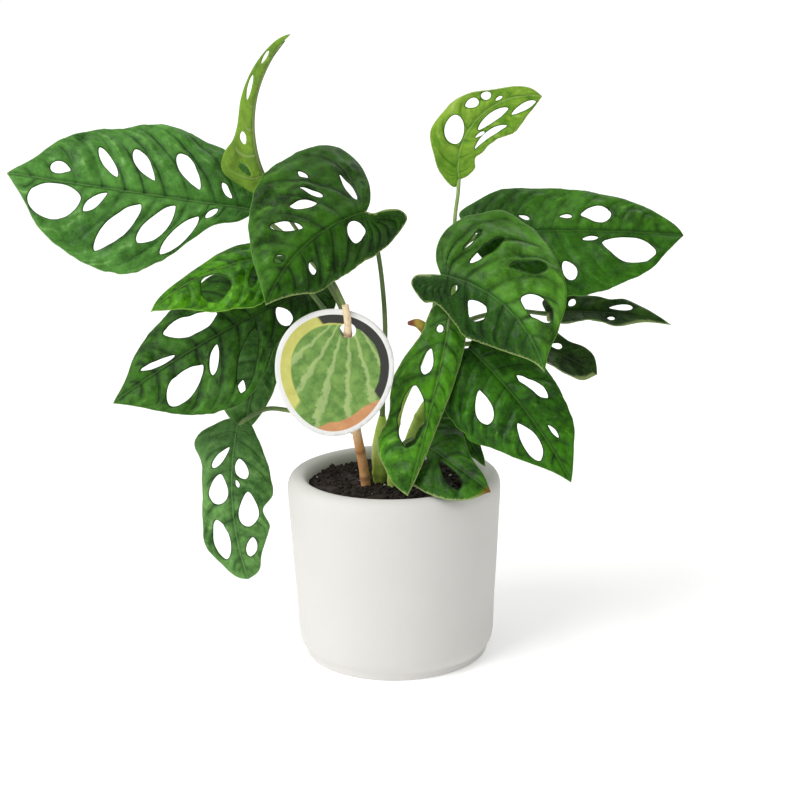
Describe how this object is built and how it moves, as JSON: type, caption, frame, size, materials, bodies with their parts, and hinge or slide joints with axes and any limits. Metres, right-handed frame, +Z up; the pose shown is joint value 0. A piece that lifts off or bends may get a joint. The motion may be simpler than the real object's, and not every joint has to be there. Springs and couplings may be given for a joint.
{
  "type": "potted monstera adansonii",
  "caption": "Leafy climbing house plant with holes in its heart-shaped leaves, on thin stems, rooted in soil in a round white ceramic pot, with a blank rounded plant tag hung on one stem.",
  "frame": {"origin": "centre of the pot's flat base, on the surface it stands on", "axes": "+Z up along the pot's axis; +X to the right and -Y towards the viewer as the plant is usually seen"},
  "size_m": [0.4391, 0.1628, 0.4183],
  "materials": {
    "pot_ceramic": "matte",
    "soil": "matte",
    "woody_stem": "satin",
    "green_stem": "satin",
    "leaf": "satin",
    "young_leaf": "satin",
    "new_shoot": "satin",
    "tag_card": "satin"
  },
  "bodies": {
    "root": {"pot": "pot_ceramic", "soil": "soil", "woody_stem": "woody_stem", "middle_stem": "green_stem", "shoot_stem": "green_stem", "main_stem": "green_stem", "leaf_far_left": "leaf", "leaf_top_left_young": "young_leaf", "leaf_front_left": "leaf", "leaf_mid_left": "leaf", "leaf_low_left": "leaf", "leaf_back_left": "leaf", "leaf_hanging": "leaf", "leaf_top_right_young": "young_leaf", "leaf_far_right": "leaf", "leaf_front_right": "leaf", "leaf_curled_right": "leaf", "leaf_small_right": "leaf", "leaf_low_right": "leaf", "leaf_centre": "leaf", "leaf_over_rim": "leaf", "leaf_inner": "leaf", "new_shoot": "new_shoot", "tag": "tag_card"}
  },
  "joints": []
}
